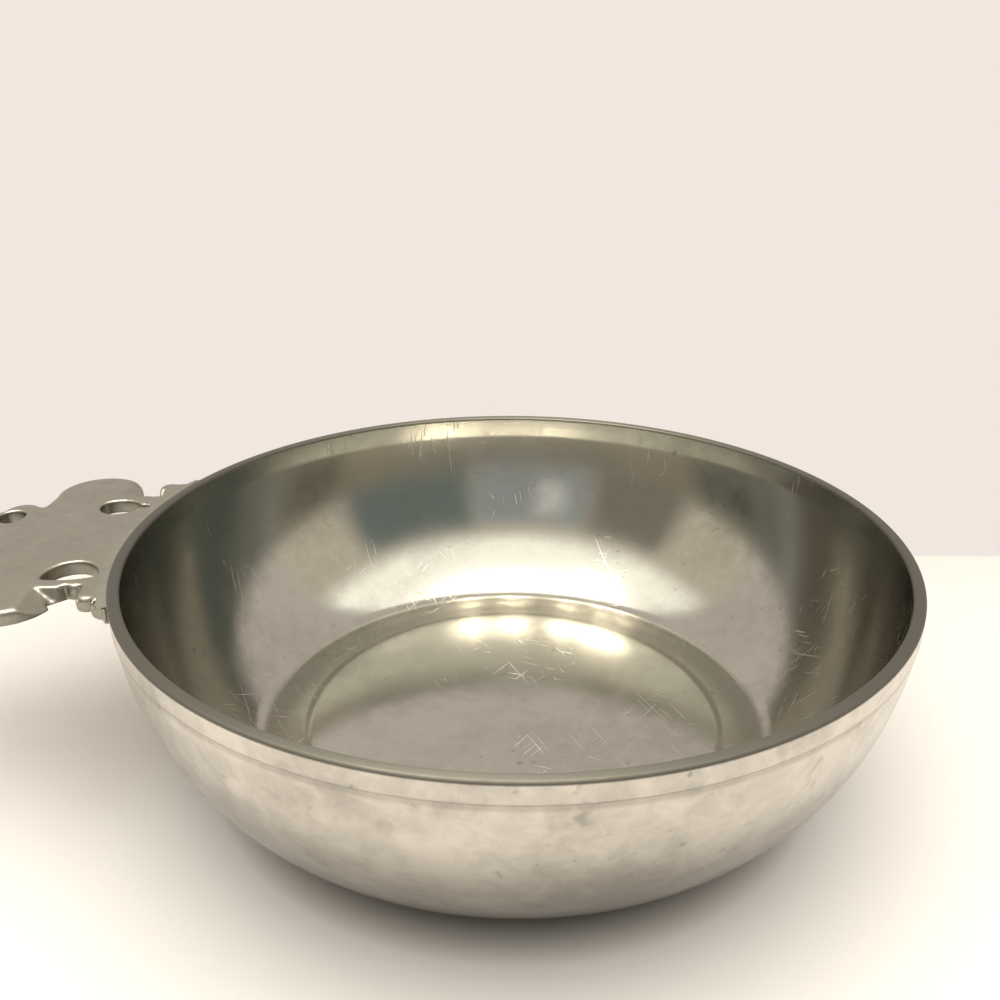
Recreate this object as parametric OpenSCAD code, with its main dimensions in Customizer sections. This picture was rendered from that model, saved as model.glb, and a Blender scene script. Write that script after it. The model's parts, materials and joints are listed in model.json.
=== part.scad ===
// Pewter porringer: a turned bowl with one pierced, scrolled handle soldered to its rim.
// Origin on the bowl's axis, in the plane that it stands on. The handle points along -X.

/* [Bowl] */
// Diameter over the rim
rim_d = 133.4; // [120:0.2:150]
// Height from the table to the top of the rim
bowl_h = 41.3; // [36:0.1:50]
// Thickness of the belly wall
wall = 1.6; // [1.2:0.1:2.2]
// Width of the flat lip
lip_w = 1.9; // [1.6:0.1:2.6]
// Radius of the two worn edges of the lip
lip_edge_r = 0.4; // [0.2:0.05:0.6]
// Height of the plain band below the lip
band_h = 3.3; // [3.2:0.1:5]
// Depth of the turned line under the band
line_depth = 0.25; // [0.2:0.05:0.6]
// Height of the turned line
line_h = 0.8; // [0.6:0.1:1.4]
// Lean of the wall where it reaches the turned line, in degrees from level
wall_lean = 84; // [78:1:88]
// How far the wall stays straight before it rounds into the base, as a share of its height
wall_run = 0.86; // [0.7:0.01:0.95]

/* [Base] */
// Outer diameter of the ring that the bowl stands on
foot_d = 79.1; // [66:0.1:84]
// Width of the flat on that ring
foot_w = 2; // [1:0.1:4]
// Height of the lowest part of the inside floor above the table
floor_h = 4.4; // [4:0.1:6]
// Thickness of the floor
floor_t = 1.8; // [1.4:0.1:2.4]
// Diameter of the boss in the floor
boss_d = 78; // [60:1:84]
// Step from the moat up to the boss
boss_step = 0.2; // [0.1:0.05:0.8]
// Crown of the boss and of the hollow beneath it
boss_crown = 0.5; // [0.2:0.1:1.5]
// Radius of the hollow corner between floor and wall
corner_r = 3; // [1.5:0.1:5]

/* [Handle] */
// Thickness of the handle plate
plate_t = 2.6; // [2.2:0.1:2.8]
// Drop from the top of the lip to the top of the plate
plate_drop = 0.55; // [0.45:0.05:0.6]
// Radius of the soft upper edge
edge_top_r = 0.9; // [0.5:0.05:1]
// Radius of the lower edge
edge_low_r = 0.4; // [0.2:0.05:0.6]
// Half the width of the root along the rim, on its longer side
root_y = 28.4; // [27.5:0.1:30]
// Reach of the large lobe's centre from the rim
big_lobe_x = 12.7; // [12.2:0.1:13.2]
// Distance of the large lobe's centre from the middle line
big_lobe_y = 20; // [19.4:0.1:21]
// Radius of the large lobe
big_lobe_r = 7.8; // [7.4:0.1:8.2]
// Reach of the small lobe's centre from the rim
small_lobe_x = 23.7; // [23.2:0.1:24.5]
// Distance of the small lobe's centre from the middle line
small_lobe_y = 11; // [10.5:0.1:12]
// Radius of the small lobe
small_lobe_r = 3.3; // [3:0.1:3.7]
// Reach of the outer lobe's centre from the rim
outer_lobe_x = 35.6; // [35:0.1:37]
// Distance of the outer lobe's centre from the middle line
outer_lobe_y = 10.4; // [9.5:0.1:11]
// Radius of the outer lobe
outer_lobe_r = 6.6; // [6:0.1:7]
// Reach of the hanging hole from the rim
tip_x = 50.5; // [49:0.1:53]
// Radius of the round end of the handle
tip_r = 9.2; // [8:0.1:10]
// Diameter of the hanging hole
hang_d = 6; // [4:0.1:8]

/* [Joint] */
// Thickness of the solder between handle and bowl
solder_t = 0.25; // [0.15:0.05:0.4]
// Width of the solder fillet above the plate
fillet_w = 1.2; // [0.6:0.1:2]
// Half the width of the tongue under the handle
tongue_w = 8; // [5:0.1:11]
// Reach of the tongue down the wall below the plate
tongue_h = 13; // [8:0.5:18]
// Thickness of the tongue under the plate
tongue_t = 2.2; // [1.4:0.1:3]

/* [Hidden] */

pewter = "#b9b4a6";
solder_grey = "#a8a396";

// Steps along the curves
belly_steps = 30;
edge_steps = 4;
turn_fn = 180;

rim_r = rim_d / 2;
foot_r = foot_d / 2;
foot_pull = 1;
band_z = bowl_h - band_h;
shoulder_in = 0.2;
shoulder = [rim_r - shoulder_in, band_z - line_h];
plate_top = bowl_h - plate_drop;
plate_low = plate_top - plate_t;
plate_r = rim_r + solder_t;
boss_r = boss_d / 2;
boss_z = floor_h + boss_step;
crown_z = boss_z + boss_crown;
hollow_r = foot_r - foot_w;
hollow_slope = 1.6;
hollow_z = floor_h - floor_t;

// One point of the cubic curve from the foot to the turned line, and its unit tangent
lean_dir = [cos(wall_lean), sin(wall_lean)];
b0 = [foot_r, 0];
b1 = [foot_r + foot_pull, 0];
b2 = shoulder - wall_run * shoulder.y * lean_dir;
b3 = shoulder;
function belly(t) =
    pow(1 - t, 3) * b0 + 3 * pow(1 - t, 2) * t * b1 + 3 * (1 - t) * t * t * b2 + pow(t, 3) * b3;
function belly_dir(t) =
    let (d = pow(1 - t, 2) * (b1 - b0) + 2 * (1 - t) * t * (b2 - b1) + t * t * (b3 - b2))
    d / norm(d);
function inside(t) = belly(t) + wall * [-belly_dir(t).y, belly_dir(t).x];

// An arc in a plane, from angle a to angle b
function arc(c, r, a, b, n) = [for (i = [0:n]) c + r * [cos(a + (b - a) * i / n), sin(a + (b - a) * i / n)]];

// Height of the inside wall's curve over a radius, by halving the range of t
function t_at(r, lo, hi, n) =
    n == 0 ? (lo + hi) / 2 :
    let (m = (lo + hi) / 2) inside(m).x < r ? t_at(r, m, hi, n - 1) : t_at(r, lo, m, n - 1);
function t_level(z, lo, hi, n) =
    n == 0 ? (lo + hi) / 2 :
    let (m = (lo + hi) / 2) inside(m).y < z ? t_level(z, m, hi, n - 1) : t_level(z, lo, m, n - 1);

// Where the inside wall meets the level of the moat, and the rounded corner there
t_meet = t_level(floor_h, 0, 1, 24);
meet = inside(t_meet);
t_corner = t_at(meet.x + corner_r / 2, 0, 1, 24);
corner_from = [meet.x - corner_r / 2, floor_h];
corner_to = inside(t_corner);
function corner(t) = pow(1 - t, 2) * corner_from + 2 * (1 - t) * t * meet + t * t * corner_to;

outside_wall = [for (i = [0:belly_steps]) belly(i / belly_steps)];
turned_line = [[rim_r - line_depth, band_z - line_h / 2], [rim_r, band_z]];
lip = concat(
    arc([rim_r - lip_edge_r, bowl_h - lip_edge_r], lip_edge_r, 0, 90, edge_steps),
    arc([rim_r - lip_w + lip_edge_r, bowl_h - lip_edge_r], lip_edge_r, 90, 180, edge_steps));
inside_wall = [for (i = [0:belly_steps]) inside(1 - (1 - t_corner) * i / belly_steps)];
inside_corner = [for (i = [edge_steps - 1:-1:0]) corner(i / edge_steps)];

// Floor from the moat over the step to the crowned boss
step_w = 2;
crown_steps = 6;
function crown(r) = boss_z + boss_crown * (1 - pow(r / (boss_r - step_w), 2));
boss_top = [for (i = [0:crown_steps]) let (r = (boss_r - step_w) * (1 - i / crown_steps)) [r, crown(r)]];
under_top = [for (i = [0:crown_steps])
    let (r = (hollow_r - hollow_slope) * i / crown_steps)
    [r, hollow_z + (boss_step + boss_crown) * (1 - pow(r / (hollow_r - hollow_slope), 2))]];

module bowl() {
    color(pewter)
    rotate_extrude($fn = turn_fn)
    polygon(concat(
        outside_wall,
        turned_line,
        lip,
        inside_wall,
        inside_corner,
        [[boss_r, floor_h]],
        boss_top,
        under_top,
        [[hollow_r, 0]]));
}

// Plan of the handle. Round pads make its lobes, and a core joins them: half of it, then its mirror image
function at_rim(x, y) = [-(sqrt(rim_r * rim_r - y * y) + x), y];
function off_rim(x, y) = [-(rim_r + x), y];
function on(c, r, a) = c + r * [cos(a), sin(a)];
function flip(p) = [p.x, -p.y];

// Lengths of the outline between the lobes. The small scrolls are filed by hand, so the two sides differ:
// a list has the +Y side first, then the -Y side
clear = 0.3;
root_in = 2;
root_out = 0.6;
root_steps = 6;
root_short = 2;
root_end = [root_y, root_y - root_short];
foot_x = [-0.7, 0.05];
foot_y = [23.9, 22.9];
foot_curl_r = [3.1, 2.35];
finger_x = [4.1, 3.05];
finger_y = [22.9, 21.2];
finger_r = [2.05, 1.75];
neck_in = 0.3;
bead_x = 2.9;
bead_r = 1.3;
bead_drop = 0.8;
notch_x = 1.5;
notch_y = 18.2;
notch_w = 3.2;
pad_in = 0.8;
lobe_in = 0.4;
corner_in = 0.3;
corner_up = 1.5;
cusp_out = 0.8;
cusp_in = 1.5;
foot_c = [for (i = [0, 1]) at_rim(foot_x[i], foot_y[i])];
finger_c = [for (i = [0, 1]) at_rim(finger_x[i], finger_y[i])];
bead_c = off_rim(bead_x, notch_y - bead_drop);
big_c = off_rim(big_lobe_x, big_lobe_y);
small_c = off_rim(small_lobe_x, small_lobe_y);
outer_c = off_rim(outer_lobe_x, outer_lobe_y);
tip_c = off_rim(tip_x, 0);
pads = [for (i = [0, 1]) [[foot_c[i], foot_curl_r[i]], [finger_c[i], finger_r[i]], [bead_c, bead_r],
    [big_c, big_lobe_r], [small_c, small_lobe_r], [outer_c, outer_lobe_r]]];
root_a = [for (y = root_end) asin(y / rim_r)];
function half_core(i) = concat(
    [for (j = [0:root_steps]) let (a = root_a[i] * j / root_steps) (rim_r - root_in) * [-cos(a), sin(a)]],
    [at_rim(root_out, root_end[i]),
    on(foot_c[i], foot_curl_r[i] - pad_in, 150),
    on(finger_c[i], finger_r[i] - pad_in, 60),
    on(finger_c[i], finger_r[i] - neck_in, 195),
    off_rim(notch_x, notch_y),
    off_rim(notch_x + notch_w, notch_y),
    on(big_c, big_lobe_r - pad_in, -8),
    big_c,
    on(big_c, big_lobe_r - lobe_in, 196),
    off_rim(big_lobe_x + big_lobe_r - corner_in, small_lobe_y + corner_up),
    on(small_c, small_lobe_r - pad_in, 60),
    on(small_c, small_lobe_r - pad_in, 170),
    off_rim(small_lobe_x + small_lobe_r + cusp_out, small_lobe_y - cusp_in),
    on(outer_c, outer_lobe_r - pad_in, -5),
    outer_c,
    on(outer_c, outer_lobe_r - pad_in, 203),
    on(tip_c, tip_r - pad_in, 48),
    tip_c]);
other_half = half_core(1);
core = concat(half_core(0), [for (i = [len(other_half) - 2:-1:1]) flip(other_half[i])]);

// The piercings of each side, drawn as eggs with a reach, a distance from the middle line, half a length,
// a bulge inwards, a bulge outwards and a tilt
egg_steps = 24;
outer_eggs = [[24.5, 8.7, 2.3, 3.4, 2.1, 12], [37, 11, 3.4, 3.2, 2.4, 16]];
eggs = [
    concat([[6.4, 13.4, 3.6, 3.8, 2.5, -4], [2.7, 13.4, 1.9, 0.7, 0.7, -4]], outer_eggs),
    concat([[4.8, 15.2, 4.4, 5.2, 1.2, -8]], outer_eggs)];
function egg(e) = [for (i = [0:egg_steps - 1])
    let (a = 360 * i / egg_steps, x = e[2] * cos(a), y = (sin(a) > 0 ? e[4] : e[3]) * sin(a))
    off_rim(e[0], e[1]) + [x * cos(e[5]) - y * sin(e[5]), x * sin(e[5]) + y * cos(e[5])]];

// The end of each big lobe falls away towards the bowl from a ridge
ridge_x = [8.2, 8.7];
ridge_y = 19.2;
fall_w = [5, 2.9];
fall = [2, 2.3];
fall_end = 2.4;
module lobe_fall(i) {
    over = plate_top + clear;
    top_x = -(rim_r + ridge_x[i]);
    low_x = top_x + fall_w[i];
    end_x = -(rim_r + fall_end);
    translate([0, rim_r, 0]) rotate([90, 0, 0]) linear_extrude(rim_r - ridge_y)
    polygon([[top_x, plate_top], [low_x, plate_top - fall[i]], [end_x, plate_top - fall[i]], [end_x, over],
        [top_x, over]]);
}

// The finger on the +Y side falls away towards the notch
finger_fall_y = 21.6;
finger_fall_w = 2.2;
finger_fall = 1.8;
finger_fall_x = [0.4, 3];
module finger_facet() {
    over = plate_top + clear;
    low = plate_top - finger_fall;
    far = finger_fall_y - finger_fall_w;
    translate([-(rim_r + finger_fall_x[1]), 0, 0])
    rotate([90, 0, 90]) linear_extrude(finger_fall_x[1] - finger_fall_x[0])
    polygon([[finger_fall_y, plate_top], [far, low], [notch_y, low], [notch_y, over], [finger_fall_y, over]]);
}

// Filed cuts between the scrolls: upright vees in the edge
cut_r = 0.5;
trim_r = 1.1;
trim_x = 5.2;
trim_y = 21;
cuts = [
    [[at_rim(finger_x[0] - finger_r[0] - 0.1, finger_y[0] + 1.6), cut_r],
    [at_rim(foot_x[0] - foot_curl_r[0] * 0.7, foot_y[0] + foot_curl_r[0] * 0.9), cut_r],
    [off_rim(notch_x + 0.2, notch_y + 0.25), cut_r],
    [off_rim(bead_x + bead_r, notch_y + 0.2), cut_r]],
    [[at_rim(finger_x[1] - finger_r[1] + 0.5, finger_y[1] + 2.3), cut_r],
    [off_rim(trim_x, trim_y), trim_r]]];
module vee(c, r) {
    translate([c.x, c.y, plate_low - clear]) cylinder(r = r, h = plate_t + 2 * clear, $fn = 4);
}

// Knuckles along the notch on the -Y side: wider at the bottom than at the top
knuckle_fn = 36;
knuckle_flare = 0.8;
knuckles = [[off_rim(7.7, 18.1), 1.1], [off_rim(6.7, 18), 1.2], [off_rim(5.7, 18), 1.1], [off_rim(2.6, 16.9), 1.3]];
module knuckle(k) {
    translate([k[0].x, k[0].y, plate_low]) cylinder(r1 = k[1] + knuckle_flare, r2 = k[1], h = plate_t, $fn = knuckle_fn);
}
// Section of a round pad, from its middle to its rounded edge
pad_fn = 72;
function pad_section(r) = concat(
    [[0, 0]],
    arc([r - edge_low_r, edge_low_r], edge_low_r, -90, 0, edge_steps),
    arc([r - edge_top_r, plate_t - edge_top_r], edge_top_r, 0, 90, edge_steps),
    [[0, plate_t]]);

module pad(c, r) {
    translate([c.x, c.y, plate_low]) rotate_extrude($fn = pad_fn) polygon(pad_section(r));
}

module prism(outline) {
    translate([0, 0, plate_low - clear]) linear_extrude(plate_t + 2 * clear) polygon(outline);
}

module plate() {
    translate([0, 0, plate_low]) linear_extrude(plate_t) polygon(core);
    pad(tip_c, tip_r);
    for (p = pads[0]) pad(p[0], p[1]);
    for (p = pads[1]) pad(flip(p[0]), p[1]);
}

module filed_plate() {
    difference() {
        plate();
        for (i = [0, 1]) mirror([0, i, 0]) {
            lobe_fall(i);
            for (c = cuts[i]) vee(c[0], c[1]);
        }
        finger_facet();
    }
}

// Tongue under the root, lying along the wall
tongue_low = plate_low - tongue_h;
tongue_tip_t = 0.8;
tongue_in = 0.8;
root_z = band_z - 0.5;
back_wall = [for (p = outside_wall) if (p.y > tongue_low - 2) p];
seat_line = concat(back_wall, [[shoulder.x, plate_low + tongue_in]]);
wall_line = concat(back_wall, turned_line, [[rim_r, plate_low + tongue_in]]);
film_line = concat(shift(back_wall, solder_t),
    [[shoulder.x + solder_t, root_z], [plate_r, root_z], [plate_r, plate_low + tongue_in]]);
function tongue_at(z) = max(tongue_tip_t, tongue_tip_t + (tongue_t - tongue_tip_t) * (z - tongue_low) / tongue_h);
function shift(line, d) = [for (p = line) [p.x + d, p.y]];
function back(line) = [for (i = [len(line) - 1:-1:0]) line[i]];
tongue_a = asin(tongue_w / rim_r) + 3;
tongue_steps = 12;

module sector(a, outline) {
    rotate([0, 0, 180 - a]) rotate_extrude(angle = 2 * a, $fn = turn_fn) polygon(outline);
}

module tongue_shape() {
    reach = rim_r + 10;
    side = [for (i = [0:tongue_steps]) let (a = 90 * i / tongue_steps)
        [tongue_w * pow(cos(a), 0.7), plate_low - tongue_h * sin(a)]];
    translate([-reach, 0, 0]) rotate([90, 0, 90]) linear_extrude(reach - rim_r / 2)
    polygon(concat([[tongue_w, plate_low + tongue_in]], side, [for (p = back(side)) [-p.x, p.y]],
        [[-tongue_w, plate_low + tongue_in]]));
}

module tongue() {
    intersection() {
        sector(tongue_a, concat(shift(seat_line, solder_t),
            back([for (p = seat_line) [p.x + solder_t + tongue_at(p.y), p.y]])));
        tongue_shape();
    }
}

module handle() {
    color(pewter)
    difference() {
        union() {
            filed_plate();
            mirror([0, 1, 0]) for (k = knuckles) knuckle(k);
            tongue();
        }
        translate([0, 0, root_z]) cylinder(r = plate_r, h = band_h + 1, $fn = turn_fn);
        for (e = eggs[0]) prism(egg(e));
        mirror([0, 1, 0]) for (e = eggs[1]) prism(egg(e));
        translate([tip_c.x, 0, plate_low - clear]) cylinder(d = hang_d, h = plate_t + 2 * clear, $fn = 48);
    }
}

// Solder: a thin seam along the rim with a fillet above and below, and a film behind the tongue
seam_short = 2.5;
seam_a = root_a[0] - seam_short;

module handle_solder() {
    color(solder_grey)
    union() {
        sector(seam_a, [[rim_r, band_z], [plate_r, band_z], [plate_r, plate_top], [plate_r + fillet_w, plate_top],
            [rim_r, bowl_h - lip_edge_r]]);
        intersection() {
            sector(tongue_a, concat(wall_line, back(film_line)));
            tongue_shape();
        }
    }
}

bowl();
handle();
handle_solder();
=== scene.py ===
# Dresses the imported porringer: a finely turned bowl, a cast and filed handle, worn pewter and a plain studio.
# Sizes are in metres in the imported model's own frame: the origin is on the bowl's axis, in the plane it stands on.

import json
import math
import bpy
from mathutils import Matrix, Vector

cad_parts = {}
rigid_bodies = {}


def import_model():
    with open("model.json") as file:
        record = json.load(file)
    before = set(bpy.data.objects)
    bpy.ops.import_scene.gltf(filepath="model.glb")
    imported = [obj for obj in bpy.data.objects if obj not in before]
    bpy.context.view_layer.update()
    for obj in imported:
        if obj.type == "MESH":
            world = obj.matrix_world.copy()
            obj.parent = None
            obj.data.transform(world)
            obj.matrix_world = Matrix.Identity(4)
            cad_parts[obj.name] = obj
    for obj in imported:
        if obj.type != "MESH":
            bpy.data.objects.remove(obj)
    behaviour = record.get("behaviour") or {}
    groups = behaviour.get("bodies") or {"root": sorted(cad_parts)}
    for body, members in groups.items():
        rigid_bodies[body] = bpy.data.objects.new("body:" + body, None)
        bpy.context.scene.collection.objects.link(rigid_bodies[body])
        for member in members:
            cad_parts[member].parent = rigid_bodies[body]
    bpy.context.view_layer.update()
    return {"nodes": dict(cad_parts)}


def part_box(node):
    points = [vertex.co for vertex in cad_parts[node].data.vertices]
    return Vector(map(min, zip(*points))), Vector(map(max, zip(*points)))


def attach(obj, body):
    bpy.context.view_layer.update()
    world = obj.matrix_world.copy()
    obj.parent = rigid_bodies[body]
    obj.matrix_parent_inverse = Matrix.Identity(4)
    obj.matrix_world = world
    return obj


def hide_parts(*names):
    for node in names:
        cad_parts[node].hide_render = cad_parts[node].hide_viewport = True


bl_info = {
    "name": "Pewter Porringer",
    "version": (1, 0, 0),
    "blender": (4, 5, 0),
    "location": "View3D > Sidebar > Porringer",
    "description": "Turns the bowl, dresses the handle and its solder, and lights the porringer",
    "category": "Object",
}

import bpy
from bpy.props import FloatProperty, FloatVectorProperty, IntProperty, PointerProperty
from mathutils import Matrix, Vector

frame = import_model()
BOWL_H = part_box("bowl")[1].z
RIM_R = 0.0667

# The bowl's half section, beside the sizes that the panel shows
LINE_INSET = 0.0002  # the belly starts this much inside the rim's radius
BELLY_LEAN = 84  # degrees: slope of the belly where it leaves the line
BELLY_PULL = 0.86  # length of that tangent, as a share of the belly's height
FOOT_PULL = 0.001  # length of the level tangent at the foot
LINE_SHAPE = ((0.8, 0.3), (1.0, 0.55), (0.8, 0.8))  # shares of the line's depth and height
LINE_EDGE = (0.00005, 0.0002)  # worn edge above the line: inward and upward
BOSS_EASE = 0.002  # width of the soft step up to the boss
HOLLOW_SLOPE = 0.0016  # width of the slope from the standing ring up to the hollow
BELLY_STEPS = 64
WALL_STEPS = 56
BOSS_STEPS = 24
EASE_STEPS = 8
MOAT_STEPS = 4
CORNER_STEPS = 10
LIP_STEPS = 6
UNDER_STEPS = 16
MERGE = 0.000002  # points of the turned mesh closer than this are one point
SMOOTH_ANGLE = 40

# The handle's worn edges
HANDLE_MERGE = 0.000005
WEAR_FACTOR = 0.5
WEAR_ROUNDS = 6

# Where the outside changes tone, the dull lip and the painted shade in the turned line and on the lower belly:
# heights above the table, or depths under the top of the lip
LIP_FADE = (0.0007, 0.0004)
# Painted shade in the turned line:
LINE_SHADE_IN = (0.0047, 0.0041)
LINE_SHADE_OUT = (0.0036, 0.003)
# Painted shade on the belly, darker towards the table, standing in for the shadowed table seen in the metal
BELLY_PAINTED_SHADE = ((0.0235, 0.0305, 0.36), (0.008, 0.0235, 0.3))  # from, to, strength

# Scratches: turn in radians and length
SCRATCHES = ((0.45, 0.010), (1.25, 0.007), (2.5, 0.008))
SCRATCH_WIDTH = 0.00022
SCRATCH_COLOUR = (0.85, 0.83, 0.78)

# The room as the metal sees it: colour, then from and to round the bowl (0 is behind it), from and to in height
# and softness, in degrees
ROOM_BASE = (0.92, 0.83, 0.70)
ROOM_PATCHES = (
    ((0.24, 0.29, 0.28), 117, 165, -95, 38, 4),
    ((0.50, 0.54, 0.55), 165, 200, -95, 36, 4),
    ((0.50, 0.54, 0.55), -200, -150, -95, 36, 4),
    ((0.34, 0.31, 0.27), -150, -117, -95, 38, 4),
    ((0.95, 0.94, 0.92), -172, -160, 12, 30, 3),
    ((2.1, 2.05, 1.9), -200, 200, 45, 100, 5),
    ((3.0, 2.9, 2.7), -200, 200, 68, 100, 4),
)
DEGREES = 57.29578

# Small warm lamps in a row over the bowl, seen only as lights in the metal
LAMP_X = (0.14, 0.0, -0.17, -0.285, -0.365)
LAMP_Y = -0.06
LAMP_HEIGHT = 1.2
LAMP_SIZE = 0.05
LAMP_COLOUR = (1.0, 0.93, 0.8)

# Painted shadow: the table's colour darkens close under the bowl
TABLE_SIZE = 8.0
TABLE_SHADE = (0.19, 0.165, 0.14)
TABLE_SHADE_REACH = (0.0435, 0.0545)
BACKDROP_WIDTH = 2.0

CAMERA_PLACE = (-0.00203, -0.15915, 0.11446)
CAMERA_YAW, CAMERA_PITCH, CAMERA_ROLL = -0.0033, 0.3969, 0.0029  # radians
CAMERA_LENS = 36.365
CAMERA_SENSOR = 36


class BowlSizes(bpy.types.PropertyGroup):
    wall: FloatProperty(name="Wall", description="Thickness of the belly wall", default=0.0016, unit="LENGTH")
    lip_width: FloatProperty(name="Lip Width", description="Width of the flat lip", default=0.0019, unit="LENGTH")
    lip_edge: FloatProperty(name="Lip Edge", description="Radius of the lip's worn edges",
                            default=0.00045, unit="LENGTH")
    band: FloatProperty(name="Band", description="Height of the plain band under the lip",
                        default=0.0033, unit="LENGTH")
    line_depth: FloatProperty(name="Line Depth", description="Depth of the turned line",
                              default=0.00025, unit="LENGTH")
    line_height: FloatProperty(name="Line Height", description="Height of the turned line",
                               default=0.0008, unit="LENGTH")
    foot_radius: FloatProperty(name="Foot Radius", description="Outer radius of the ring it stands on",
                               default=0.03955, unit="LENGTH")
    foot_width: FloatProperty(name="Foot Width", description="Width of that ring", default=0.002, unit="LENGTH")
    floor_height: FloatProperty(name="Floor Height", description="Lowest part of the inside floor",
                                default=0.0044, unit="LENGTH")
    floor_thickness: FloatProperty(name="Floor Thickness", description="Thickness of the floor",
                                   default=0.0018, unit="LENGTH")
    boss_radius: FloatProperty(name="Boss Radius", description="Radius of the boss in the floor",
                               default=0.039, unit="LENGTH")
    boss_step: FloatProperty(name="Boss Step", description="Step up to the boss", default=0.0002, unit="LENGTH")
    boss_crown: FloatProperty(name="Boss Crown", description="Crown of the boss", default=0.0005, unit="LENGTH")
    corner_radius: FloatProperty(name="Corner Radius", description="Hollow corner between floor and wall",
                                 default=0.003, unit="LENGTH")
    turns: IntProperty(name="Turns", description="Steps round the bowl", default=256, min=64, max=360)


class HandleSizes(bpy.types.PropertyGroup):
    grain: FloatProperty(name="Grain", description="Size of the handle's mesh faces", default=0.00026, unit="LENGTH")


class PewterColours(bpy.types.PropertyGroup):
    outside: FloatVectorProperty(name="Outside", description="Polished outside", subtype="COLOR", size=3,
                                 default=(0.60, 0.56, 0.50))
    inside: FloatVectorProperty(name="Inside", description="Inside of the bowl", subtype="COLOR", size=3,
                                default=(0.46, 0.445, 0.39))
    cast: FloatVectorProperty(name="Cast", description="Cast handle and solder", subtype="COLOR", size=3,
                              default=(0.285, 0.27, 0.225))
    # Dark spots of age; this colour also paints the shade in the turned line and on the lower belly
    spots_and_shade: FloatVectorProperty(name="Spots", description="Dark spots of age", subtype="COLOR", size=3,
                               default=(0.14, 0.125, 0.1))
    table: FloatVectorProperty(name="Table", description="Table top", subtype="COLOR", size=3,
                               default=(0.93, 0.90, 0.87))
    backdrop: FloatVectorProperty(name="Backdrop", description="Backdrop behind the table", subtype="COLOR", size=3,
                                  default=(0.88, 0.80, 0.74))


class StageSettings(bpy.types.PropertyGroup):
    table_edge: FloatProperty(name="Table Edge", description="Where the table gives way to the backdrop",
                              default=0.0775, unit="LENGTH")
    wall_height: FloatProperty(name="Wall Height", description="Height of the backdrop", default=0.22, unit="LENGTH")
    lamp_power: FloatProperty(name="Lamps", description="Power of each small lamp", default=5.0)
    room: FloatProperty(name="Room", description="Brightness of the room", default=1.0)


def clear_selection():
    if bpy.context.object and bpy.context.object.mode != "OBJECT":
        bpy.ops.object.mode_set(mode="OBJECT")
    bpy.ops.object.select_all(action="DESELECT")


def take(piece):
    clear_selection()
    piece.select_set(True)
    bpy.context.view_layer.objects.active = piece


def settle(piece):
    take(piece)
    bpy.ops.object.transform_apply(location=True, rotation=True, scale=True)


def finish_modifier(piece, name):
    take(piece)
    bpy.ops.object.modifier_apply(modifier=name)


def turned(name, profile, steps):
    """A solid of revolution about Z, spun from an open profile that starts and ends on the axis."""
    clear_selection()
    bpy.ops.mesh.primitive_plane_add(size=0.01, location=(0, 0, 0))
    piece = bpy.context.object
    piece.name = name
    bpy.ops.object.mode_set(mode="EDIT")
    bpy.ops.mesh.select_all(action="SELECT")
    bpy.ops.mesh.merge(type="CENTER")
    bpy.ops.transform.translate(value=(profile[0][0], 0, profile[0][1]))
    for (r0, z0), (r1, z1) in zip(profile, profile[1:]):
        bpy.ops.mesh.extrude_region_move(TRANSFORM_OT_translate={"value": (r1 - r0, 0, z1 - z0)})
    bpy.ops.mesh.select_all(action="SELECT")
    bpy.ops.mesh.spin(steps=steps, angle=2 * math.pi, center=(0, 0, 0), axis=(0, 0, 1), use_auto_merge=True)
    bpy.ops.mesh.select_all(action="SELECT")
    bpy.ops.mesh.remove_doubles(threshold=MERGE)
    bpy.ops.mesh.normals_make_consistent(inside=False)
    bpy.ops.object.mode_set(mode="OBJECT")
    bpy.ops.object.shade_smooth_by_angle(angle=math.radians(SMOOTH_ANGLE))
    return piece


def arc(cx, cz, r, start, end, steps):
    """Points of an arc, from one angle in degrees to another."""
    turns = [math.radians(start + (end - start) * i / steps) for i in range(steps + 1)]
    return [(cx + r * math.cos(turn), cz + r * math.sin(turn)) for turn in turns]


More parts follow.
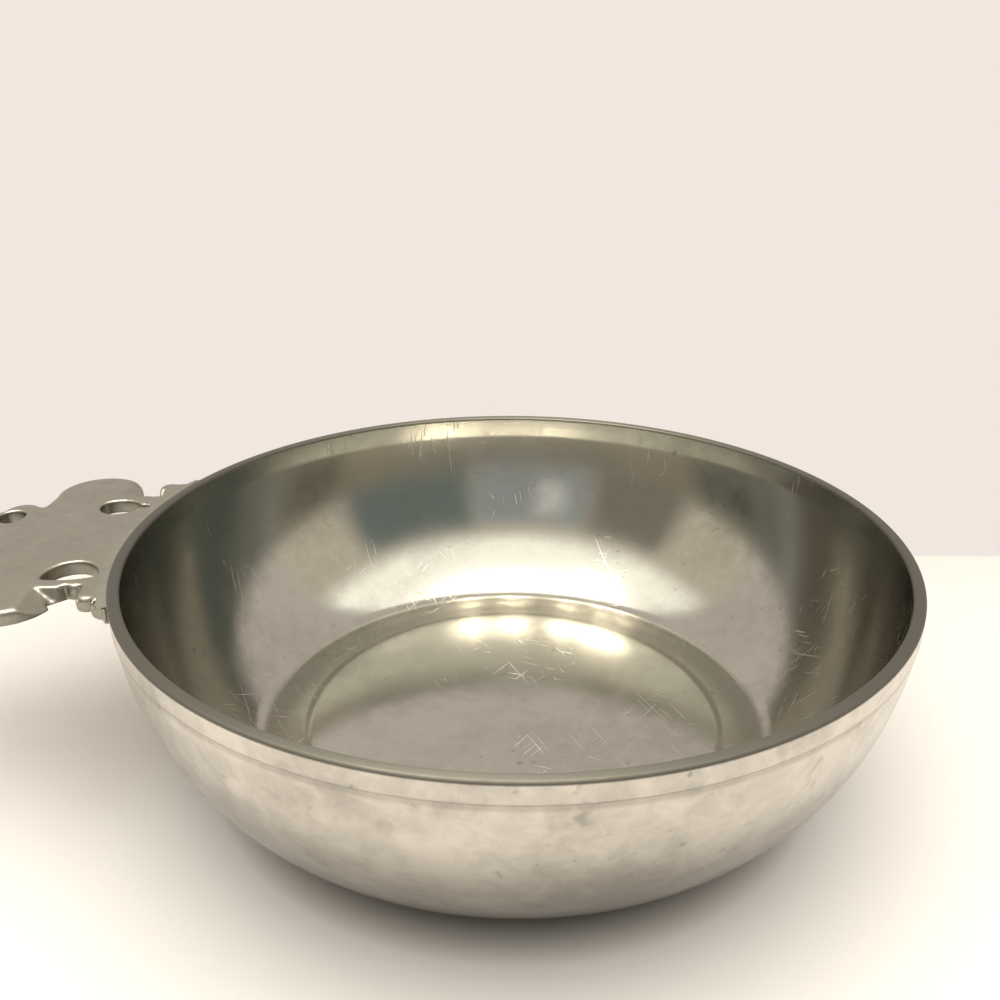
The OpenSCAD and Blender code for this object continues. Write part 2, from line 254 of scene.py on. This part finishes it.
def bowl_profile(s):
    """The half section from the middle of the inside floor, over the lip, to the middle of the underside."""
    band_z = BOWL_H - s.band
    lean = math.radians(BELLY_LEAN)
    b3 = Vector((RIM_R - LINE_INSET, band_z - s.line_height))
    b0 = Vector((s.foot_radius, 0))
    b1 = b0 + Vector((FOOT_PULL, 0))
    b2 = b3 - Vector((math.cos(lean), math.sin(lean))) * (BELLY_PULL * b3.y)

    def belly(t):
        return b0 * (1 - t) ** 3 + b1 * 3 * (1 - t) ** 2 * t + b2 * 3 * (1 - t) * t * t + b3 * t ** 3

    def inner(t):
        d = ((b1 - b0) * (1 - t) ** 2 + (b2 - b1) * 2 * (1 - t) * t + (b3 - b2) * t * t).normalized()
        return belly(t) + Vector((-d.y, d.x)) * s.wall

    def solve(test):
        low, high = 0.0, 1.0
        for _ in range(40):
            middle = (low + high) / 2
            low, high = (middle, high) if test(inner(middle)) else (low, middle)
        return low

    meet = inner(solve(lambda p: p.y < s.floor_height))
    t_corner = solve(lambda p: p.x < meet.x + s.corner_radius / 2)
    start, end = Vector((meet.x - s.corner_radius / 2, s.floor_height)), inner(t_corner)
    top_r = s.boss_radius - BOSS_EASE
    floor = [(top_r * i / BOSS_STEPS, s.floor_height + s.boss_step + s.boss_crown * (1 - (i / BOSS_STEPS) ** 2))
             for i in range(BOSS_STEPS + 1)]
    for i in range(1, EASE_STEPS + 1):
        ease = 0.5 - 0.5 * math.cos(math.pi * i / EASE_STEPS)
        floor.append((top_r + BOSS_EASE * i / EASE_STEPS, s.floor_height + s.boss_step * (1 - ease)))
    moat = [(s.boss_radius + (start.x - s.boss_radius) * i / MOAT_STEPS, s.floor_height)
            for i in range(1, MOAT_STEPS)]
    corner = [start * (1 - u) ** 2 + meet * 2 * (1 - u) * u + end * u * u
              for u in [i / CORNER_STEPS for i in range(CORNER_STEPS + 1)]]
    wall = [inner(t_corner + (1 - t_corner) * i / WALL_STEPS) for i in range(1, WALL_STEPS + 1)]
    e = s.lip_edge
    lip = (arc(RIM_R - s.lip_width + e, BOWL_H - e, e, 180, 90, LIP_STEPS)
           + arc(RIM_R - e, BOWL_H - e, e, 90, 0, LIP_STEPS))
    line = [(RIM_R, band_z + LINE_EDGE[1]), (RIM_R - LINE_EDGE[0], band_z)]
    line += [(RIM_R - s.line_depth * depth, band_z - s.line_height * drop) for depth, drop in LINE_SHAPE]
    outer = [belly(1 - i / BELLY_STEPS) for i in range(BELLY_STEPS + 1)]
    hollow_r = s.foot_radius - s.foot_width
    under_r = hollow_r - HOLLOW_SLOPE
    under_z = s.floor_height - s.floor_thickness
    under = [(under_r * (1 - i / UNDER_STEPS),
              under_z + (s.boss_step + s.boss_crown) * (1 - (1 - i / UNDER_STEPS) ** 2))
             for i in range(UNDER_STEPS + 1)]
    points = [*floor, *moat, *[tuple(p) for p in corner], *[tuple(p) for p in wall], *lip, *line,
              *[tuple(p) for p in outer], (hollow_r, 0), *under]
    points[0] = (0, points[0][1])
    points[-1] = (0, points[-1][1])
    return points


class Nodes:
    """A short way to write a node tree."""

    def __init__(self, owner):
        self.owner = owner
        owner.use_nodes = True
        self.tree = owner.node_tree
        self.tree.nodes.clear()
        self.column = 0

    def add(self, kind, inputs=None, **settings):
        node = self.tree.nodes.new(kind)
        node.location = (220 * self.column, 0)
        self.column += 1
        for key, value in settings.items():
            setattr(node, key, value)
        for key, value in (inputs or {}).items():
            if isinstance(value, bpy.types.NodeSocket):
                self.tree.links.new(value, node.inputs[key])
            else:
                node.inputs[key].default_value = value
        return node

    def math(self, operation, a, b=0.0):
        return self.add("ShaderNodeMath", {0: a, 1: b}, operation=operation).outputs[0]

    def plus(self, a, b):
        return self.math("ADD", a, b)

    def times(self, a, b):
        return self.math("MULTIPLY", a, b)

    def most(self, a, b):
        return self.math("MAXIMUM", a, b)

    def mix(self, factor, a, b):
        """The colour between a and b."""
        return self.add("ShaderNodeMix", {0: factor, 6: a, 7: b}, data_type="RGBA").outputs[2]

    def place(self):
        return self.add("ShaderNodeTexCoord").outputs["Object"]

    def split(self, vector):
        return self.add("ShaderNodeSeparateXYZ", {0: vector}).outputs

    def reach(self, x, y):
        """Distance from the bowl's axis."""
        return self.math("SQRT", self.plus(self.times(x, x), self.times(y, y)))

    def ramp(self, value, low, high, a=0.0, b=1.0):
        """a up to low, b from high on."""
        inputs = {"Value": value, "From Min": low, "From Max": high, "To Min": a, "To Max": b}
        return self.add("ShaderNodeMapRange", inputs, clamp=True).outputs["Result"]

    def noise(self, vector, scale, detail=3.0, rough=0.5, distortion=0.0):
        inputs = {"Vector": vector, "Scale": scale, "Detail": detail, "Roughness": rough, "Distortion": distortion}
        return self.add("ShaderNodeTexNoise", inputs).outputs["Fac"]

    def bump(self, height, strength, distance, **more):
        inputs = {"Strength": strength, "Distance": distance, "Height": height, **more}
        return self.add("ShaderNodeBump", inputs).outputs[0]

    def surface(self, shader, output="ShaderNodeOutputMaterial"):
        self.add(output, {"Surface": shader.outputs[0]})
        return self.owner


def rgba(colour, share=1.0):
    """The colour, made lighter or darker by share."""
    return (*[channel * share for channel in colour], 1.0)


def turned_pewter(colours):
    """Turned pewter: lines round the axis, cloudy tarnish, dark blotches and specks, fine scratches, duller inside,
    and painted shade in the turned line and low on the belly.
    """
    n = Nodes(bpy.data.materials.new("Turned Pewter"))
    place = n.place()
    x, y, z = n.split(place)
    radius = n.reach(x, y)
    nx, ny, _ = n.split(n.add("ShaderNodeNewGeometry").outputs["Normal"])
    outside = n.ramp(n.math("DIVIDE", n.plus(n.times(x, nx), n.times(y, ny)), radius), 0.1, 0.45)

    # Turning lines follow the section, in millimetres along it
    run = n.times(n.plus(radius, z), 1000.0)
    lines = n.add("ShaderNodeTexNoise", {"W": run, "Scale": 2.6, "Detail": 5.0, "Roughness": 0.75},
                  noise_dimensions="1D").outputs["Fac"]

    cloud = n.noise(place, 45.0, 4.0, 0.6)
    mottle = n.noise(place, 260.0, 5.0, 0.65, 0.4)
    dull = n.ramp(n.plus(n.times(cloud, 0.6), n.times(mottle, 0.4)), 0.42, 0.62)
    clean = n.mix(outside, rgba(colours.inside), rgba(colours.outside))
    tarnished = n.mix(outside, rgba(colours.inside, 0.84), rgba(colours.outside, 0.68))
    colour = n.mix(dull, clean, tarnished)

    blotch = n.times(n.ramp(n.noise(place, 200.0, 2.0, 0.5, 0.3), 0.66, 0.74), outside)
    specks = n.times(n.ramp(n.noise(place, 620.0, 2.0, 0.5), 0.66, 0.74), n.ramp(cloud, 0.45, 0.6))
    colour = n.mix(n.most(n.times(blotch, 0.35), n.times(specks, 0.5)), colour, rgba(colours.spots_and_shade))

    scratch = scratches(n, place, *SCRATCHES[0])
    for turn, length in SCRATCHES[1:]:
        scratch = n.most(scratch, scratches(n, place, turn, length))
    scratch = n.times(scratch, n.math("SUBTRACT", 1.0, outside))
    colour = n.mix(n.times(scratch, 0.18), colour, rgba(SCRATCH_COLOUR))

    # The lip is as dull as the handle. Painted shade darkens the turned line, and painted shade, standing in for the
    # shadowed table seen in the metal, darkens the belly towards the table
    lip = n.ramp(z, *[BOWL_H - depth for depth in LIP_FADE])
    colour = n.mix(n.times(lip, 0.95), colour, rgba(colours.cast, 0.36))
    # Painted shade darkens the turned line on the outside
    painted_line_shade = n.times(n.ramp(z, *[BOWL_H - depth for depth in LINE_SHADE_IN]),
                    n.ramp(z, *[BOWL_H - depth for depth in LINE_SHADE_OUT], 1.0, 0.0))
    colour = n.mix(n.times(n.times(painted_line_shade, outside), 0.28), colour, rgba(colours.spots_and_shade))
    # Painted shade: the belly darkens towards the table, in place of the shadowed table that the metal would show
    high_painted_shade, low_painted_shade = [n.ramp(z, start, end, share, 0.0) for start, end, share in BELLY_PAINTED_SHADE]
    colour = n.mix(n.times(n.plus(high_painted_shade, low_painted_shade), outside), colour, rgba(colours.spots_and_shade, 0.3))

    rough = n.plus(n.ramp(dull, 0.0, 1.0, 0.08, 0.15), n.times(lines, 0.08))
    rough = n.plus(rough, n.times(outside, 0.07))
    rough = n.plus(rough, n.most(n.times(scratch, 0.2), n.times(lip, 0.4)))

    pits = n.noise(place, 900.0, 3.0, 0.6)
    height = n.plus(n.times(lines, 0.35), n.times(pits, 0.25))
    height = n.math("SUBTRACT", height, n.times(scratch, 0.6))
    fine = n.bump(height, 0.12, 0.0001)
    waves = n.bump(n.noise(place, 28.0, 2.0, 0.4), 0.35, 0.0008, Normal=fine)
    tangent = n.add("ShaderNodeTangent", direction_type="RADIAL", axis="Z")
    return n.surface(n.add("ShaderNodeBsdfPrincipled", {
        "Base Color": colour, "Metallic": 1.0, "Roughness": rough, "Anisotropic": 0.55,
        "Anisotropic Rotation": 0.25, "Normal": waves, "Tangent": tangent.outputs[0]}))


def scratches(n, place, turn, length):
    """Thin, scattered lines: noise stretched to a length in metres, kept in a few places only."""
    along = n.add("ShaderNodeMapping", {
        "Vector": place, "Rotation": (0.0, 0.0, turn), "Scale": (SCRATCH_WIDTH, length, length)},
        vector_type="TEXTURE").outputs[0]
    few = n.ramp(n.noise(place, 55.0 + turn, 1.0, 0.5), 0.56, 0.62)
    return n.times(n.ramp(n.noise(along, 1.0, 0.0, 0.5), 0.77, 0.8), few)


def cast_pewter(colours, name="Cast Pewter", base=0.34, share=1.0):
    """Cast pewter, filed and handled: dull grey, faintly mottled, with a few dark pits. base is its roughness."""
    n = Nodes(bpy.data.materials.new(name))
    place = n.place()
    cloud = n.noise(place, 90.0, 4.0, 0.6)
    mottle = n.noise(place, 420.0, 4.0, 0.6)
    dull = n.ramp(n.plus(n.times(cloud, 0.5), n.times(mottle, 0.5)), 0.4, 0.64)
    colour = n.mix(dull, rgba(colours.cast, 1.06 * share), rgba(colours.cast, 0.76 * share))
    specks = n.ramp(n.noise(place, 800.0, 2.0, 0.5), 0.68, 0.76)
    colour = n.mix(n.times(specks, 0.5), colour, rgba(colours.spots_and_shade))
    rough = n.ramp(dull, 0.0, 1.0, base, base + 0.1)
    height = n.plus(n.times(mottle, 0.6), n.times(n.noise(place, 1400.0, 3.0, 0.6), 0.4))
    return n.surface(n.add("ShaderNodeBsdfPrincipled", {
        "Base Color": colour, "Metallic": 1.0, "Roughness": rough, "Normal": n.bump(height, 0.25, 0.0001)}))


def dress(piece, material):
    piece.data.materials.clear()
    piece.data.materials.append(material)


class PORRINGER_OT_bowl(bpy.types.Operator):
    """Turn the bowl from its half section"""

    bl_idname = "porringer.bowl"
    bl_label = "Turn Bowl"

    def execute(self, context):
        sizes = context.scene.porringer_bowl
        piece = turned("Bowl", bowl_profile(sizes), sizes.turns)
        dress(piece, turned_pewter(context.scene.porringer_colours))
        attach(piece, "root")
        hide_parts("bowl")
        return {"FINISHED"}


class PORRINGER_OT_handle(bpy.types.Operator):
    """Soften the edges of the cast handle"""

    bl_idname = "porringer.handle"
    bl_label = "Cast Handle"

    def execute(self, context):
        sizes = context.scene.porringer_handle
        source = frame["nodes"]["handle"]
        take(source)
        bpy.ops.object.duplicate()
        piece = context.object
        piece.name = "Handle"
        bpy.ops.object.parent_clear(type="CLEAR_KEEP_TRANSFORM")
        for key in list(piece.keys()):
            del piece[key]
        settle(piece)
        bpy.ops.object.mode_set(mode="EDIT")
        bpy.ops.mesh.select_all(action="SELECT")
        bpy.ops.mesh.remove_doubles(threshold=HANDLE_MERGE)
        bpy.ops.object.mode_set(mode="OBJECT")
        remesh = piece.modifiers.new("Grain", "REMESH")
        remesh.mode = "VOXEL"
        remesh.voxel_size = sizes.grain
        finish_modifier(piece, "Grain")
        smooth = piece.modifiers.new("Wear", "SMOOTH")
        smooth.factor = WEAR_FACTOR
        smooth.iterations = WEAR_ROUNDS
        finish_modifier(piece, "Wear")
        bpy.ops.object.shade_smooth()
        dress(piece, cast_pewter(context.scene.porringer_colours))
        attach(piece, "root")
        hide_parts("handle")
        return {"FINISHED"}


class PORRINGER_OT_solder(bpy.types.Operator):
    """Give the solder its dull finish"""

    bl_idname = "porringer.solder"
    bl_label = "Dress Solder"

    def execute(self, context):
        solder = frame["nodes"]["handle_solder"]
        dress(solder, cast_pewter(context.scene.porringer_colours, "Solder", base=0.45, share=0.85))
        return {"FINISHED"}


class PORRINGER_OT_stage(bpy.types.Operator):
    """Set the table, the backdrop, the lights and the camera"""

    bl_idname = "porringer.stage"
    bl_label = "Set Stage"

    def execute(self, context):
        settings = context.scene.porringer_stage
        colours = context.scene.porringer_colours
        self.table(colours)
        self.backdrop(settings, colours)
        self.room(context, settings, colours)
        for i, x in enumerate(LAMP_X):
            self.lamp(f"Lamp {i + 1}", (x, LAMP_Y, LAMP_HEIGHT), settings.lamp_power)
        self.camera(context)
        context.scene.view_settings.view_transform = "Standard"
        return {"FINISHED"}

    def table(self, colours):
        clear_selection()
        bpy.ops.mesh.primitive_plane_add(size=TABLE_SIZE, location=(0, 0, 0))
        table = bpy.context.object
        table.name = "Table"
        n = Nodes(bpy.data.materials.new("Table Top"))
        place = n.place()
        bump = n.bump(n.noise(place, 300.0, 3.0, 0.6), 0.05, 0.0003)
        x, y, _ = n.split(place)
        # Painted shadow: the table's colour turns dark close round the bowl's foot
        colour = n.mix(n.ramp(n.reach(x, y), *TABLE_SHADE_REACH), rgba(TABLE_SHADE), rgba(colours.table))
        dress(table, n.surface(n.add("ShaderNodeBsdfPrincipled", {
            "Base Color": colour, "Roughness": 0.6, "Specular IOR Level": 0.3, "Normal": bump})))

    def backdrop(self, settings, colours):
        """A pale wall just behind the bowl. It shows from the front only, so that it never hides the bowl."""
        clear_selection()
        bpy.ops.mesh.primitive_plane_add(size=1.0, location=(0, settings.table_edge, settings.wall_height / 2),
                                         rotation=(math.pi / 2, 0, 0))
        wall = bpy.context.object
        wall.name = "Backdrop"
        wall.scale = (BACKDROP_WIDTH, settings.wall_height, 1.0)
        settle(wall)
        n = Nodes(bpy.data.materials.new("Backdrop"))
        path = n.add("ShaderNodeLightPath").outputs
        seen = n.most(path["Is Camera Ray"], n.most(path["Is Glossy Ray"], path["Is Transmission Ray"]))
        glow = n.add("ShaderNodeEmission", {"Color": rgba(colours.backdrop), "Strength": 1.0})
        plain = n.add("ShaderNodeBsdfDiffuse", {"Color": rgba(colours.backdrop)})
        clear = n.add("ShaderNodeBsdfTransparent")
        front = n.add("ShaderNodeMixShader", {0: seen, 1: plain.outputs[0], 2: glow.outputs[0]})
        side = n.add("ShaderNodeNewGeometry").outputs["Backfacing"]
        dress(wall, n.surface(n.add("ShaderNodeMixShader", {0: side, 1: front.outputs[0], 2: clear.outputs[0]})))

    def room(self, context, settings, colours):
        """The room: pale walls behind and beside the bowl, a dimmer front with a lit patch, and a bright ceiling."""
        context.scene.world = bpy.data.worlds.new("Room")
        n = Nodes(context.scene.world)
        x, y, z = n.split(n.add("ShaderNodeTexCoord").outputs["Generated"])
        turn = n.times(n.math("ARCTAN2", x, y), DEGREES)
        rise = n.times(n.math("ARCSINE", z), DEGREES)
        colour = rgba(ROOM_BASE)
        for tint, low, high, bottom, top, soft in ROOM_PATCHES:
            mask = n.times(self.window(n, turn, low, high, soft), self.window(n, rise, bottom, top, soft))
            colour = n.mix(mask, colour, rgba(tint))
        room = n.add("ShaderNodeBackground", {0: colour, 1: settings.room})
        seen = n.add("ShaderNodeBackground", {0: rgba(colours.backdrop), 1: 1.0})
        camera_ray = n.add("ShaderNodeLightPath").outputs["Is Camera Ray"]
        n.surface(n.add("ShaderNodeMixShader", {0: camera_ray, 1: room.outputs[0], 2: seen.outputs[0]}),
                  "ShaderNodeOutputWorld")

    def window(self, n, value, low, high, soft):
        """1 between low and high, falling to 0 over soft on both sides."""
        return n.times(n.ramp(value, low - soft, low + soft), n.ramp(value, high - soft, high + soft, 1.0, 0.0))

    def lamp(self, name, place, power):
        """A small square lamp that faces the bowl."""
        data = bpy.data.lights.new(name, "AREA")
        data.size = LAMP_SIZE
        data.energy = power
        data.color = LAMP_COLOUR
        light = bpy.data.objects.new(name, data)
        bpy.context.collection.objects.link(light)
        light.location = place
        light.visible_diffuse = False
        light.rotation_euler = (Vector((0, 0, 0)) - Vector(place)).to_track_quat("-Z", "Y").to_euler()

    def camera(self, context):
        data = bpy.data.cameras.new("Camera")
        data.sensor_width = CAMERA_SENSOR
        data.lens = CAMERA_LENS
        data.dof.use_dof = False
        data.clip_start = 0.005
        data.clip_end = 50
        camera = bpy.data.objects.new("Camera", data)
        context.collection.objects.link(camera)
        yaw, pitch, roll = CAMERA_YAW, CAMERA_PITCH, CAMERA_ROLL
        forward = Vector((math.sin(yaw) * math.cos(pitch), math.cos(yaw) * math.cos(pitch), -math.sin(pitch)))
        right = Vector((math.cos(yaw), -math.sin(yaw), 0))
        up = right.cross(forward)
        side = math.cos(roll) * right + math.sin(roll) * up
        top = -math.sin(roll) * right + math.cos(roll) * up
        turn = Matrix((side, top, -forward)).transposed().to_4x4()
        camera.matrix_world = Matrix.Translation(CAMERA_PLACE) @ turn
        context.scene.camera = camera


class PORRINGER_PT_panel(bpy.types.Panel):
    """The steps and sizes of the porringer"""

    bl_label = "Porringer"
    bl_idname = "PORRINGER_PT_panel"
    bl_space_type = "VIEW_3D"
    bl_region_type = "UI"
    bl_category = "Porringer"

    def draw(self, context):
        for group, operators in (("porringer_bowl", ("bowl",)), ("porringer_handle", ("handle", "solder")),
                                 ("porringer_colours", ()), ("porringer_stage", ("stage",))):
            box = self.layout.box()
            settings = getattr(context.scene, group)
            for key in settings.bl_rna.properties.keys():
                if key not in {"rna_type", "name"}:
                    box.prop(settings, key)
            for operator in operators:
                box.operator("porringer." + operator)


CLASSES = (BowlSizes, HandleSizes, PewterColours, StageSettings, PORRINGER_OT_bowl, PORRINGER_OT_handle,
           PORRINGER_OT_solder, PORRINGER_OT_stage, PORRINGER_PT_panel)
GROUPS = {"porringer_bowl": BowlSizes, "porringer_handle": HandleSizes, "porringer_colours": PewterColours,
          "porringer_stage": StageSettings}


def register():
    for cls in CLASSES:
        bpy.utils.register_class(cls)
    for name, group in GROUPS.items():
        setattr(bpy.types.Scene, name, PointerProperty(type=group))


def unregister():
    for name in GROUPS:
        delattr(bpy.types.Scene, name)
    for cls in reversed(CLASSES):
        bpy.utils.unregister_class(cls)


def main():
    register()
    for step in (bpy.ops.porringer.bowl, bpy.ops.porringer.handle, bpy.ops.porringer.solder, bpy.ops.porringer.stage):
        step()


if __name__ == "__main__":
    main()
